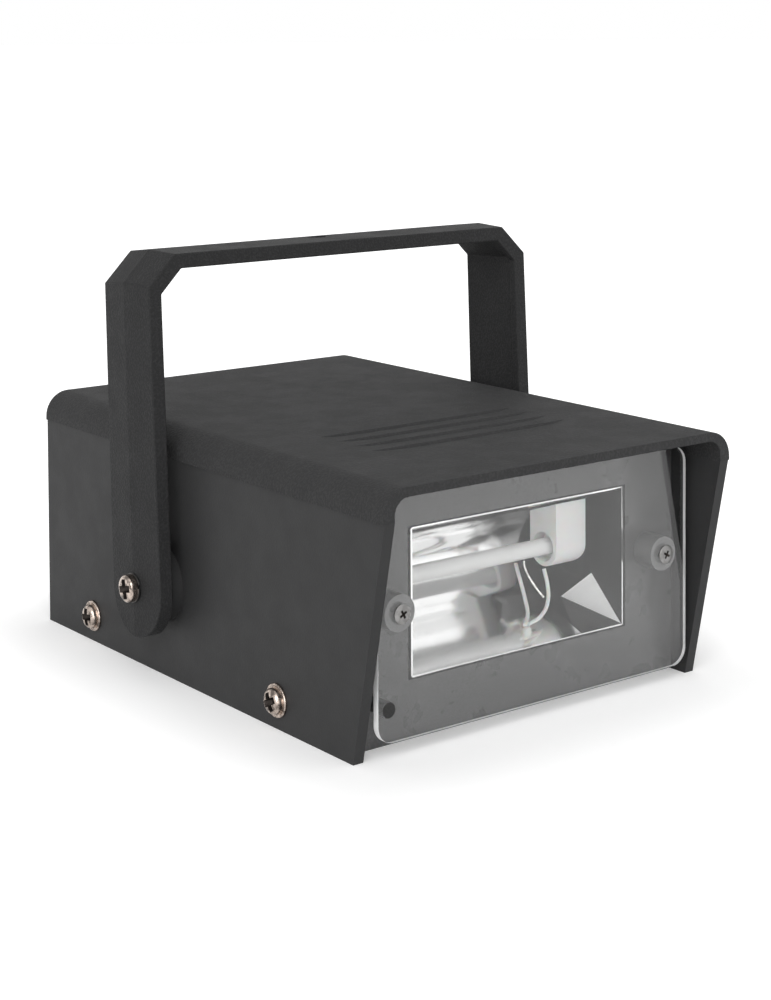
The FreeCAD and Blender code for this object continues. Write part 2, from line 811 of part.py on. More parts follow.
def bracket_outline(outer, top, slope, bottom):
    """Outside of the bracket seen from the front, in the bracket's own frame."""
    return [
        (-outer, bottom), (outer, bottom), (outer, top - slope), (outer - slope, top),
        (slope - outer, top), (-outer, top - slope),
    ]


def make_bracket():
    body = new_body("bracket")
    bottom = s.arm_end_level - s.arm_half_width
    sections = []
    for place, lift in ((-s.arm_half_width, -s.arm_ridge), (zero, zero), (s.arm_half_width, -s.arm_ridge)):
        sketch = new_sketch(body, "XZ_Plane", -place)
        outline = bracket_outline(arm_outer + lift, bar_top + lift, s.bracket_chamfer, bottom)
        sections.append(draw_outline(sketch, outline))
    loft = body.newObject("PartDesign::AdditiveLoft", "Ridged")
    loft.Profile = sections[0]
    loft.Sections = sections[1:]
    loft.Ruled = True
    finish_feature(body, loft, True)
    inside = bracket_outline(arm_inner, bar_top - s.arm_thickness, s.bracket_inner_chamfer, bottom - s.overrun)
    pocket(body, draw_outline(new_sketch(body, "XZ_Plane"), inside), s.arm_half_width * 2 + s.overrun, middle=True)
    shape_arms(body)
    thin = bracket_outline(arm_inner + s.rim_depth, bar_top - s.arm_thickness + s.rim_depth,
                           s.bracket_inner_chamfer, s.pivot_boss_radius + s.rim_width)
    rim_front = new_sketch(body, "XZ_Plane", s.bar_half_width - s.rim_width)
    pocket(body, draw_outline(rim_front, thin), s.bar_half_width * 2 + s.overrun)
    bore = draw_circle(new_sketch(body, "YZ_Plane"), (zero, zero), screw_bore)
    pocket(body, bore, (arm_outer + s.overrun) * 2, middle=True)
    hole = draw_circle(new_sketch(body, "XY_Plane", bar_top + s.overrun), (s.bar_hole_shift, zero),
                       s.bar_hole_radius)
    pocket(body, hole, s.arm_thickness + s.overrun * 2)
    body.Placement.Rotation = FreeCAD.Rotation(FreeCAD.Vector(-1, 0, 0), s.rest_tilt.number)
    body.setExpression("Placement.Rotation.Angle", s.rest_tilt.text)
    return moved(body, zero, s.pivot_place, s.pivot_height)


def shape_arms(body):
    """Round the arms' lower ends and taper their sides up to the bar."""
    wide = s.arm_half_width
    beyond = wide + s.overrun
    level = s.arm_end_level
    ends = [
        (wide, level), (-wide, level), (-beyond, level), (-beyond, level - beyond), (beyond, level - beyond),
        (beyond, level),
    ]
    pocket(body, draw_outline(new_sketch(body, "YZ_Plane"), ends, arcs=(0,)), (arm_outer + s.overrun) * 2,
           middle=True)
    for side in (-1, 1):
        taper = [
            (wide * side, level), (s.bar_half_width * side, bar_top),
            (s.bar_half_width * side, bar_top + s.overrun), (beyond * side, bar_top + s.overrun),
            (beyond * side, level),
        ]
        pocket(body, draw_outline(new_sketch(body, "YZ_Plane"), taper), (arm_outer + s.overrun) * 2,
               middle=True)


# Screws and nuts

def polygon(count, corner):
    """Corners of a regular polygon about the origin."""
    turns = [math.tau * number / count for number in range(count)]
    return [(corner * math.cos(turn), corner * math.sin(turn)) for turn in turns]


def make_screws(label, seat, tip, shank, head, height, places):
    """Plain-headed screws on both sides, along X, each head on its seat."""
    pieces = []
    for along, up in places:
        screw = turned("screw", "X", [
            (tip, zero), (tip, shank), (seat, shank), (seat, head), (seat + height, head), (seat + height, zero),
        ])
        moved(screw, zero, along, up)
        pieces += [screw, mirror_image(screw)]
    group(label, pieces)


# Circuit on the tray's floor

def make_board():
    board = new_body("circuit_board")
    outline = box_points(-board_half_width, s.board_front, board_half_width, s.board_rear)
    sketch = draw_outline(new_sketch(board, "XY_Plane", s.board_level), outline)
    for place in board_hole_places:
        draw_outline(sketch, square_points(place, s.board_peg_half + s.screw_clearance))
    pad(board, sketch, s.board_thickness)


def make_board_parts():
    """Film capacitors, trigger transformer, ballast resistor and diodes, each on two legs."""
    right = board_half_width - s.capacitor_right_inset
    left = s.capacitor_left_inset - board_half_width
    half_long = (right - left) / 2
    group("storage_capacitors", [
        standing_block("capacitor", half_long, s.capacitor_width / 2, s.capacitor_height,
                       half_long - s.capacitor_width / 2,
                       ((left + right) / 2, s.capacitor_place + s.capacitor_pitch * number))
        for number in range(CAPACITOR_COUNT)
    ])
    standing_block("trigger_transformer", s.transformer_half, s.transformer_half, s.transformer_height,
                   s.transformer_half / 2, (s.transformer_inset - board_half_width, s.transformer_place))
    standing_block("ballast_resistor", s.resistor_length / 2, s.resistor_width / 2, s.resistor_width,
                   s.resistor_length / 2 - s.resistor_width / 2, (zero, s.resistor_place))
    group("rectifier_diodes", [
        standing_block("diode", s.diode_length / 2, s.diode_half, s.diode_half * 2,
                       s.diode_length / 2 - s.diode_half / 2,
                       (s.diode_inset - board_half_width, s.diode_place + s.diode_pitch * number))
        for number in range(DIODE_COUNT)
    ])


def standing_block(label, half_long, half_wide, high, leg_side, place):
    """A block-shaped circuit part that stands clear of the board on two square legs."""
    body = new_body(label)
    block = box_points(-half_long, -half_wide, half_long, half_wide)
    pad(body, draw_outline(new_sketch(body, "XY_Plane", s.leg_length), block), high)
    legs = new_sketch(body, "XY_Plane")
    for side in (-1, 1):
        draw_outline(legs, square_points((leg_side * side, zero), s.leg_half))
    pad(body, legs, s.leg_length)
    return moved(body, *place, board_top)


# Speed control with its knob, and the cord inlet, at the rear

def make_speed_control():
    inner = rear_face - s.tray_wall
    nut_end = rear_face + s.bush_nut_height
    running = s.shaft_radius + s.shaft_clearance
    place = (knob_side, zero, s.knob_height)
    control = new_body("speed_control")
    case = draw_outline(new_sketch(control, "XZ_Plane", -inner), square_points((zero, zero), s.control_half))
    pad(control, case, s.control_depth)
    bush = draw_circle(new_sketch(control, "XZ_Plane", -inner), (zero, zero), s.bush_radius)
    pad(control, bush, nut_end - inner, reverse=True)
    well = draw_circle(new_sketch(control, "XZ_Plane", -nut_end - s.overrun), (zero, zero), running)
    pocket(control, well, nut_end - inner + s.shaft_inside + s.shaft_clearance + s.overrun, reverse=True)
    moved(control, *place)
    nut = new_body("control_nut")
    corner = s.bush_nut_flat / cosine(size(RIGHT_ANGLE / 3))
    sketch = draw_outline(new_sketch(nut, "XZ_Plane", -rear_face), polygon(NUT_SIDES, corner))
    pad(nut, draw_circle(sketch, (zero, zero), s.bush_radius + s.thread_gap), s.bush_nut_height, reverse=True)
    moved(nut, *place)
    knob_face = nut_end + s.knob_gap
    shaft_end = knob_face + s.shaft_engage
    shaft = turned("control_shaft", "Y", [
        (zero, inner - s.shaft_inside), (s.shaft_radius, inner - s.shaft_inside),
        (s.shaft_radius, shaft_end), (zero, shaft_end),
    ])
    moved(shaft, *place)
    make_knob(knob_face, shaft_end, place)
    make_cord_inlet(inner)


def make_cord_inlet(inner):
    """Sleeve through the rear panel with a many-sided flange outside."""
    inlet = turned("cord_inlet", "Y", box_points(s.inlet_bore, inner, s.inlet_radius, rear_face))
    flange = draw_outline(new_sketch(inlet, "XZ_Plane", -rear_face), polygon(KNOB_SIDES, s.inlet_flange_radius))
    pad(inlet, draw_circle(flange, (zero, zero), s.inlet_bore), s.inlet_flange, reverse=True)
    moved(inlet, inlet_side, zero, s.inlet_height)


def make_knob(face, shaft_end, place):
    """Knob with a round skirt, a twelve-sided grip and a pointer groove across its end."""
    end = face + s.knob_length
    grip_start = face + s.knob_skirt
    knob = turned("speed_knob", "Y", box_points(zero, face, s.knob_skirt_radius, grip_start))
    grip = draw_outline(new_sketch(knob, "XZ_Plane", -grip_start), polygon(KNOB_SIDES, s.knob_radius))
    pad(knob, grip, s.knob_length - s.knob_skirt, reverse=True)
    bore = draw_circle(new_sketch(knob, "XZ_Plane", s.overrun - face), (zero, zero), s.shaft_radius)
    pocket(knob, bore, shaft_end - face + s.overrun)
    half = s.knob_pointer_width / 2
    groove = box_points(-half, zero, half, s.knob_radius + s.overrun)
    pocket(knob, draw_outline(new_sketch(knob, "XZ_Plane", -end), groove), s.knob_pointer_depth, reverse=True)
    moved(knob, *place)


make_cover()
make_tray()
make_reflector()
make_window_plate()
make_window_fixings()
make_flash_tube()
make_leads()
make_bracket()
make_screws("pivot_screws", arm_outer + s.pivot_gap, wall_inner - s.pivot_screw_overrun, s.pivot_screw_radius,
            s.pivot_head_radius, s.pivot_head_height, [(s.pivot_place, s.pivot_height)])
make_screws("cover_screws", wall_outer, wall_outer - s.cover_screw_length, s.cover_screw_radius,
            s.cover_head_radius, s.cover_head_height, [(place, s.cover_screw_height) for place in cover_screw_places])
make_board()
make_board_parts()
make_speed_control()
doc.recompute()

NODES = (
    "cover", "tray", "reflector", "window_plate", "window_posts", "window_screws", "xenon_tube",
    "tube_electrodes", "tube_holders", "lamp_leads", "trigger_wire", "lead_eyelet", "bracket",
    "pivot_screws", "cover_screws", "circuit_board",
    "storage_capacitors", "trigger_transformer", "ballast_resistor", "rectifier_diodes",
    "speed_control", "control_nut", "control_shaft", "speed_knob", "cord_inlet",
)

for item in doc.Objects:
    if "Invalid" in item.State or "Error" in item.State:
        raise RuntimeError(f"{item.Label} failed to build")
for name in NODES:
    shape = doc.getObject(name).Shape
    if shape.isNull() or not shape.isValid() or not shape.Solids:
        raise RuntimeError(f"{name} has no valid shape")

os.makedirs("parts", exist_ok=True)
for name in NODES:
    doc.getObject(name).Shape.exportStep(f"parts/{name}.step")
    print(name, len(doc.getObject(name).Shape.Solids), "solids")
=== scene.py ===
import math

import bmesh
import bpy
from mathutils import Matrix, Vector


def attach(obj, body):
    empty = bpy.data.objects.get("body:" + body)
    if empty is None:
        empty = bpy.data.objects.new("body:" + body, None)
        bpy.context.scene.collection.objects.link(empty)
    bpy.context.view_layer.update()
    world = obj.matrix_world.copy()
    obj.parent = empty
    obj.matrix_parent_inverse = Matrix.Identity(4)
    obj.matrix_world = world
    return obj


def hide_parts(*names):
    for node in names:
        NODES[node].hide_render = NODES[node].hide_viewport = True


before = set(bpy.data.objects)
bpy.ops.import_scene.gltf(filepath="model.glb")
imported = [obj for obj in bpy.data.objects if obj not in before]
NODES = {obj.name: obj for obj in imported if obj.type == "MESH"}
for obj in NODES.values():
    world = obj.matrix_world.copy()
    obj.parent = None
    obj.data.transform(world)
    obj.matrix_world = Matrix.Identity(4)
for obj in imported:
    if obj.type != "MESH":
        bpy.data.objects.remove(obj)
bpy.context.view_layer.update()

MM = 0.001

# Camera, as fitted to the photograph: heading turns from +Y towards +X
CAMERA_PLACE = Vector((-255.7, -341.85, 132.5)) * MM
CAMERA_HEADING = 37.31
CAMERA_LOOK_DOWN = 2.62
CAMERA_ROLL = 0.316
SENSOR = 36.0
LENS_SHARE = 2.01186
FRAME_SHIFT = -0.3756
NEAREST_SEEN = 10 * MM
FARTHEST_SEEN = 50.0


def make_camera():
    """The view of the photograph."""
    data = bpy.data.cameras.new("camera")
    data.sensor_width = SENSOR
    data.lens = SENSOR * LENS_SHARE
    data.shift_y = FRAME_SHIFT
    data.clip_start = NEAREST_SEEN
    data.clip_end = FARTHEST_SEEN
    camera = bpy.data.objects.new("camera", data)
    bpy.context.scene.collection.objects.link(camera)
    turn = Matrix.Rotation(math.radians(-CAMERA_HEADING), 4, "Z")
    tip = Matrix.Rotation(math.radians(90 - CAMERA_LOOK_DOWN), 4, "X")
    roll = Matrix.Rotation(math.radians(-CAMERA_ROLL), 4, "Z")
    camera.matrix_world = Matrix.Translation(CAMERA_PLACE) @ turn @ tip @ roll
    bpy.context.scene.camera = camera


# Materials

# sizes and depths of the patterns in moulded plastic
SPECK_SIZE = 0.45 * MM
RUB_SIZE = 7 * MM
CLOUD_SIZE = 18 * MM
WAVE_SIZE = 26 * MM
WAVE_DEPTH = 0.03 * MM
GRAIN_FADE = 0.2 * MM
# how much of the mottle is clouds, the rest being specks, and how dark and light it goes
CLOUD_SHARE = 0.35
DARK_SHARE = 0.84
LIGHT_SHARE = 1.3
# how rough a rubbed patch is beside the rest
RUB_SPREAD = 0.04
# grain left below the line where the grained part starts
FAINT_GRAIN = 0.1
# clouds, stretched lines and the lines' depth in the drawn sheet
SHEET_CLOUD_SIZE = 9 * MM
DRAWN_STRETCH = (12, 420, 420)
DRAWN_DEPTH = 0.006 * MM
# smears on clear plastic
SMEAR_SIZE = 11 * MM
# dull patches and small pits in plated metal; on the pivot and cover screws the dark patches are also painted
# dark reflections
PATCH_SIZE = 1.3 * MM
PATCH_DEPTH = 0.06 * MM
PIT_SIZE = 0.5 * MM
PIT_DEPTH = 0.012 * MM
# clouds in white rubber, and how far light gets into it
RUBBER_CLOUD_SIZE = 2.5 * MM
RUBBER_CLOUD_DEPTH = 0.05 * MM
RUBBER_GLOW_REACH = 1.2 * MM


class Paint:
    """A principled material, with short ways to add the nodes that shape its finish."""

    def __init__(self, name, **sockets):
        self.material = bpy.data.materials.new(name)
        self.material.use_nodes = True
        self.tree = self.material.node_tree
        self.shader = self.tree.nodes["Principled BSDF"]
        for socket, value in sockets.items():
            self.shader.inputs[socket.replace("_", " ")].default_value = value
        self.place = self.node("ShaderNodeTexCoord").outputs["Object"]

    def node(self, kind, **settings):
        node = self.tree.nodes.new(kind)
        for name, value in settings.items():
            setattr(node, name, value)
        return node

    def link(self, source, target):
        self.tree.links.new(source, target)

    def stretched(self, scale):
        """The place, scaled by a different amount along each axis."""
        node = self.node("ShaderNodeMapping")
        node.inputs["Scale"].default_value = scale
        self.link(self.place, node.inputs["Vector"])
        return node.outputs["Vector"]

    def noise(self, size, detail=2.0, roughness=0.5, place=None):
        """Cloudy noise whose lumps are about size metres across."""
        node = self.node("ShaderNodeTexNoise")
        node.inputs["Scale"].default_value = 1 / size
        node.inputs["Detail"].default_value = detail
        node.inputs["Roughness"].default_value = roughness
        self.link(place or self.place, node.inputs["Vector"])
        return node.outputs["Fac"]

    def cells(self, size):
        """Distance to the nearest of scattered points about size metres apart."""
        node = self.node("ShaderNodeTexVoronoi")
        node.inputs["Scale"].default_value = 1 / size
        self.link(self.place, node.inputs["Vector"])
        return node.outputs["Distance"]

    def ramp(self, value, low, high, to_low=0.0, to_high=1.0):
        node = self.node("ShaderNodeMapRange", interpolation_type="SMOOTHSTEP")
        node.inputs["From Min"].default_value = low
        node.inputs["From Max"].default_value = high
        node.inputs["To Min"].default_value = to_low
        node.inputs["To Max"].default_value = to_high
        self.link(value, node.inputs["Value"])
        return node.outputs["Result"]

    def math(self, operation, first, second):
        node = self.node("ShaderNodeMath", operation=operation)
        for value, socket in zip((first, second), node.inputs):
            if isinstance(value, (int, float)):
                socket.default_value = value
            else:
                self.link(value, socket)
        return node.outputs["Value"]

    def height(self):
        node = self.node("ShaderNodeSeparateXYZ")
        self.link(self.place, node.inputs["Vector"])
        return node.outputs["Z"]

    def blended(self, share, first, second):
        """A colour that goes from first to second as share goes from 0 to 1."""
        node = self.node("ShaderNodeMix", data_type="RGBA")
        self.link(share, node.inputs["Factor"])
        node.inputs[6].default_value = (*first, 1)
        node.inputs[7].default_value = (*second, 1)
        return node.outputs[2]

    def colour(self, socket):
        self.link(socket, self.shader.inputs["Base Color"])

    def roughness(self, socket):
        self.link(socket, self.shader.inputs["Roughness"])

    def bump(self, *layers):
        """Stack bumps, each a height socket with its depth in metres."""
        normal = None
        for height, depth in layers:
            node = self.node("ShaderNodeBump")
            node.inputs["Distance"].default_value = depth
            self.link(height, node.inputs["Height"])
            if normal:
                self.link(normal, node.inputs["Normal"])
            normal = node.outputs["Normal"]
        self.link(normal, self.shader.inputs["Normal"])


def moulded_black(name, tone, rough, grain, grain_from=None, specular=0.25, rough_grain=None):
    """Black moulded plastic: a fine grain of lighter specks, faint clouding and rubbed patches.

    Where grain_from is a height, only what lies above it is grained and has the roughness rough_grain.
    """
    paint = Paint(name, IOR=1.47, Specular_IOR_Level=specular)
    fine = paint.noise(SPECK_SIZE)
    specks = paint.ramp(fine, 0.42, 0.68)
    rubbed = paint.noise(RUB_SIZE, detail=4, roughness=0.6)
    base = paint.ramp(rubbed, 0.3, 0.7, rough - RUB_SPREAD, rough + RUB_SPREAD)
    if grain_from is not None:
        above = paint.ramp(paint.height(), grain_from - GRAIN_FADE, grain_from + GRAIN_FADE, FAINT_GRAIN, 1.0)
        specks = paint.math("MULTIPLY", specks, above)
        base = paint.math("ADD", base, paint.math("MULTIPLY", above, rough_grain - rough))
    clouds = paint.noise(CLOUD_SIZE, detail=3)
    cloudy = paint.math("MULTIPLY", clouds, CLOUD_SHARE)
    mottle = paint.math("ADD", cloudy, paint.math("MULTIPLY", specks, 1 - CLOUD_SHARE))
    dark = tuple(channel * DARK_SHARE for channel in tone)
    light = tuple(channel * LIGHT_SHARE for channel in tone)
    paint.colour(paint.blended(mottle, dark, light))
    paint.roughness(base)
    waves = paint.noise(WAVE_SIZE, detail=1)
    paint.bump((waves, WAVE_DEPTH), (specks, grain))
    return paint.material


def polished_sheet(name, tone):
    """Metallised sheet with faint drawing lines."""
    paint = Paint(name, Metallic=1.0)
    clouds = paint.noise(SHEET_CLOUD_SIZE)
    paint.colour(paint.blended(clouds, tuple(channel * 0.94 for channel in tone), tone))
    lines = paint.noise(1.0, detail=2, place=paint.stretched(DRAWN_STRETCH))
    paint.roughness(paint.ramp(clouds, 0.35, 0.7, 0.09, 0.15))
    paint.bump((lines, DRAWN_DEPTH))
    return paint.material


def clear_plastic(name, tint, rough=0.01, clear=1.0, bend=1.49):
    """Clear or, where clear is below 1, milky plastic or glass, with a few faint smears."""
    paint = Paint(name, Transmission_Weight=clear, IOR=bend)
    smears = paint.noise(SMEAR_SIZE, detail=4, roughness=0.6)
    paint.colour(paint.blended(smears, tint, tuple(min(1.0, channel * 1.02) for channel in tint)))
    paint.roughness(paint.ramp(smears, 0.35, 0.75, rough, rough + 0.02))
    return paint.material


def plated_metal(name, tone, rough, wear_and_painted_reflection=0.5):
    """Plated or machined metal with small pits and dull patches; where the wear is set high, the dark patches
    also stand for painted dark reflections.
    """
    paint = Paint(name, Metallic=1.0)
    patches = paint.noise(PATCH_SIZE, detail=4, roughness=0.65)
    # dark patches: wear, and at high settings painted dark reflections as well
    dull = tuple(channel * (1 - 0.8 * wear_and_painted_reflection) for channel in tone)
    paint.colour(paint.blended(paint.ramp(patches, 0.38, 0.58), dull, tone))
    paint.roughness(paint.ramp(patches, 0.3, 0.75, rough + 0.18, rough))
    paint.bump((patches, PATCH_DEPTH), (paint.cells(PIT_SIZE), PIT_DEPTH))
    return paint.material


def soft_white(name, tone):
    """White rubber or sleeve that light gets into."""
    paint = Paint(name, IOR=1.41, Subsurface_Weight=0.35, Subsurface_Scale=RUBBER_GLOW_REACH)
    clouds = paint.noise(RUBBER_CLOUD_SIZE, detail=3)
    paint.colour(paint.blended(clouds, tuple(channel * 0.94 for channel in tone), tone))
    paint.roughness(paint.ramp(clouds, 0.3, 0.7, 0.32, 0.5))
    paint.bump((clouds, RUBBER_CLOUD_DEPTH))
    return paint.material


def dull_solid(name, tone, rough, spread=0.12, lump=1.5, depth=0.04, metallic=0.0):
    """A plain material with a little clouding and grain."""
    paint = Paint(name, Metallic=metallic)
    clouds = paint.noise(lump * MM, detail=4, roughness=0.6)
    paint.colour(paint.blended(clouds, tuple(channel * (1 - spread) for channel in tone), tone))
    paint.roughness(paint.ramp(clouds, 0.3, 0.7, rough - 0.06, rough + 0.06))
    paint.bump((clouds, depth * MM))
    return paint.material


# the cover's top is grained above this height
STEP_LEVEL = 45.7 * MM
SHELL_TONE = (0.03, 0.03, 0.0305)
TRAY_TONE = (0.068, 0.068, 0.069)
BRACKET_TONE = (0.024, 0.024, 0.0245)
NICKEL_TONE = (0.56, 0.47, 0.41)
STEEL_TONE = (0.55, 0.54, 0.53)

MATERIALS = {
    "cover": moulded_black("shell_black", SHELL_TONE, 0.5, 0.07 * MM, STEP_LEVEL, specular=0.2,
                           rough_grain=0.72),
    "tray": moulded_black("tray_black", TRAY_TONE, 0.3, 0.003 * MM, specular=0.6),
    "bracket": moulded_black("bracket_black", BRACKET_TONE, 0.62, 0.06 * MM, specular=0.12),
    "speed_knob": moulded_black("knob_black", (0.02, 0.02, 0.021), 0.45, 0.01 * MM),
    "cord_inlet": dull_solid("inlet_rubber", (0.02, 0.02, 0.02), 0.7),
    "reflector": polished_sheet("mirror_sheet", (0.94, 0.94, 0.94)),
    "window_plate": clear_plastic("clear_plate", (0.99, 0.995, 0.99), bend=1.5),
    "window_posts": clear_plastic("milky_post", (0.12, 0.12, 0.12), 0.3, clear=0.0),
    "xenon_tube": clear_plastic("tube_glass", (0.99, 0.99, 0.98), 0.3, clear=0.1, bend=1.4),
    "tube_electrodes": plated_metal("electrode_metal", (0.6, 0.58, 0.55), 0.3),
    "trigger_wire": plated_metal("trigger_metal", (0.75, 0.74, 0.72), 0.2),
    "tube_holders": soft_white("holder_white", (0.98, 0.98, 0.97)),
    "lamp_leads": soft_white("lead_white", (0.93, 0.93, 0.91)),
    "lead_eyelet": soft_white("bead_white", (0.84, 0.84, 0.8)),
    "window_screws": plated_metal("window_nickel", (0.3, 0.295, 0.29), 0.4, wear_and_painted_reflection=0.3),
    # the strong dark patches on these screw heads are partly painted dark reflections
    "pivot_screws": plated_metal("pivot_nickel", NICKEL_TONE, 0.12, wear_and_painted_reflection=0.95),
    "cover_screws": plated_metal("cover_nickel", NICKEL_TONE, 0.12, wear_and_painted_reflection=0.95),
    "control_nut": plated_metal("control_nut_steel", STEEL_TONE, 0.25),
    "control_shaft": plated_metal("shaft_steel", STEEL_TONE, 0.25),
    "speed_control": plated_metal("control_can", (0.5, 0.5, 0.5), 0.35),
    "circuit_board": dull_solid("board_green", (0.05, 0.16, 0.08), 0.4),
    "storage_capacitors": dull_solid("capacitor_sleeve", (0.02, 0.03, 0.08), 0.3),
    "trigger_transformer": dull_solid("coil_potting", (0.05, 0.04, 0.03), 0.35),
    "ballast_resistor": dull_solid("resistor_ceramic", (0.7, 0.68, 0.62), 0.8),
    "rectifier_diodes": dull_solid("diode_black", (0.02, 0.02, 0.02), 0.5),
}

# Edge rounding in millimetres: the moulded and cut edges catch light along their length
ROUNDED_EDGES = {
    "cover": 0.35, "tray": 0.25, "bracket": 0.5, "window_plate": 0.12, "speed_knob": 0.25,
    "cord_inlet": 0.3, "control_nut": 0.12, "tube_holders": 0.2,
}
# faces that turn by less than FLAT_ANGLE degrees are one flat face, and by more than CORNER_ANGLE a corner
FLAT_ANGLE = 0.6
CORNER_ANGLE = 32
WELD_REACH = 0.002 * MM
EDGE_STEPS = 2
# both faces at the bracket's ridge lean at least this much towards the front or the rear
RIDGE_LEAN = 0.03


def mark_ridge(mesh):
    """Keep the faint ridge along the outside of each arm and of the bar as a line.

    Neighbouring faces have corners of their own here, so their edges are matched by place.
    """
    faces_at = {}
    for polygon in mesh.polygons:
        for key in polygon.edge_keys:
            ends = [mesh.vertices[corner].co for corner in key]
            spot = frozenset(tuple(round(value / MM, 2) for value in end) for end in ends)
            faces_at.setdefault(spot, []).append((key, polygon.normal))
    edges = {edge.key: edge for edge in mesh.edges}
    for sides in faces_at.values():
        if len(sides) != 2:
            continue
        (_, first), (_, second) = sides
        leans = first.y * second.y < 0 and min(abs(first.y), abs(second.y)) > RIDGE_LEAN
        if leans and first.angle(second) < math.radians(CORNER_ANGLE):
            for key, _ in sides:
                edges[key].use_edge_sharp = True


def dress_nodes():
    """Give each node its finish, clean flat faces and, where listed, rounded edges."""
    for name, material in MATERIALS.items():
        node = NODES[name]
        node.data.materials.clear()
        node.data.materials.append(material)
        if node.data.has_custom_normals:
            node.data.attributes.remove(node.data.attributes["custom_normal"])
        node.data.shade_smooth()
        weld = node.modifiers.new("weld", "WELD")
        weld.merge_threshold = WELD_REACH
        flatten = node.modifiers.new("flatten", "DECIMATE")
        flatten.decimate_type = "DISSOLVE"
        flatten.angle_limit = math.radians(FLAT_ANGLE)
        if name in ROUNDED_EDGES:
            bevel = node.modifiers.new("bevel", "BEVEL")
            bevel.width = ROUNDED_EDGES[name] * MM
            bevel.segments = EDGE_STEPS
            bevel.limit_method = "ANGLE"
            bevel.angle_limit = math.radians(CORNER_ANGLE)
            bevel.harden_normals = True
        else:
            split = node.modifiers.new("split", "EDGE_SPLIT")
            split.split_angle = math.radians(CORNER_ANGLE)
        normals = node.modifiers.new("normals", "WEIGHTED_NORMAL")
        normals.keep_sharp = True


# faces that lean less than this towards the front or the rear belong to the edges
EDGE_LEAN = 0.5
# how far the posts stay clear of the plate that they touch, so that their ends are seen through it
POST_GAP = 0.03 * MM


def second_finish(node, material, chosen):
    """Give the faces of a node whose direction is chosen a finish of their own."""
    mesh = NODES[node].data
    mesh.materials.append(material)
    for polygon in mesh.polygons:
        if chosen(polygon.normal):
            polygon.material_index = 1


def finish_window():
    """The plate's cut edges are frosted and carry light, their white partly the frost's own colour and partly a
    painted highlight, and the posts' ends show through the plate.
    """
    # the edges' white is partly the frosted cut and partly a painted highlight of the light that the plate
    # carries
    frosted = dull_solid("frosted_edge_painted_highlight", (0.95, 0.95, 0.95), 0.6)
    second_finish("window_plate", frosted, lambda normal: abs(normal.y) < EDGE_LEAN)
    pressed = dull_solid("post_end", (0.19, 0.19, 0.19), 0.5)
    second_finish("window_posts", pressed, lambda normal: normal.y < -EDGE_LEAN)
    shrink = NODES["window_posts"].modifiers.new("shrink", "DISPLACE")
    shrink.strength = -POST_GAP
    shrink.mid_level = 0.0


# Pieces made here

def add_piece(name, mesh, material=None, node=None, body="housing"):
    """Show a mesh as a piece of the object, in place of a node where one is named."""
    piece = bpy.data.objects.new(name, mesh)
    bpy.context.scene.collection.objects.link(piece)
    if material:
        mesh.materials.clear()
        mesh.materials.append(material)
    mesh.shade_smooth()
    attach(piece, body)
    if node:
        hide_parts(node)
    return piece


def soften(piece, width):
    """Round the corners of a piece by a width in millimetres."""
    bevel = piece.modifiers.new("bevel", "BEVEL")
    bevel.width = width * MM
    bevel.segments = EDGE_STEPS
    bevel.limit_method = "ANGLE"
    bevel.angle_limit = math.radians(CORNER_ANGLE)
    bevel.harden_normals = True
    normals = piece.modifiers.new("normals", "WEIGHTED_NORMAL")
    normals.keep_sharp = True


def lathe_mesh(profile, count=40):
    """A solid turned about Z from (radius, level) points in millimetres, the first and last on the axis."""
    mesh = bpy.data.meshes.new("turned")
    shape = bmesh.new()
    rings = []
    for radius, level in profile:
        if radius == 0:
            rings.append([shape.verts.new((0, 0, level * MM))])
            continue
        turns = [math.tau * number / count for number in range(count)]
        rings.append([
            shape.verts.new((radius * MM * math.cos(turn), radius * MM * math.sin(turn), level * MM))
            for turn in turns
        ])
    for below, above in zip(rings, rings[1:]):
        for number in range(count):
            after = (number + 1) % count
            corners = [below[number % len(below)], below[after % len(below)],
                       above[after % len(above)], above[number % len(above)]]
            shape.faces.new(list(dict.fromkeys(corners)))
    bmesh.ops.recalc_face_normals(shape, faces=shape.faces)
    shape.to_mesh(mesh)
    shape.free()
    return mesh


# what is left of a cross recess's reach and width at its bottom
CROSS_END_SHARE = 0.35
CROSS_WIDTH_SHARE = 0.6


def cross_cutter(reach, half_width, top, depth):
    """Two crossed wedges, the shape of a cross recess, each wide at the top and narrow at the bottom."""
    meshes = []
    for turned in (False, True):
        corners = []
        bottom = (top - depth, reach * CROSS_END_SHARE, half_width * CROSS_WIDTH_SHARE)
        for level, long, wide in ((top, reach, half_width), bottom):
            for across, along in ((-1, -1), (1, -1), (1, 1), (-1, 1)):
                spot = (across * long, along * wide)
                corners.append((*(spot[::-1] if turned else spot), level))
        mesh = bpy.data.meshes.new("cutter")
        faces = [(0, 1, 2, 3), (4, 5, 6, 7)] + [(n, (n + 1) % 4, (n + 1) % 4 + 4, n + 4) for n in range(4)]
        mesh.from_pydata([Vector(corner) * MM for corner in corners], [], faces)
        shape = bmesh.new()
        shape.from_mesh(mesh)
        bmesh.ops.recalc_face_normals(shape, faces=shape.faces)
        shape.to_mesh(mesh)
        shape.free()
        meshes.append(mesh)
    return meshes


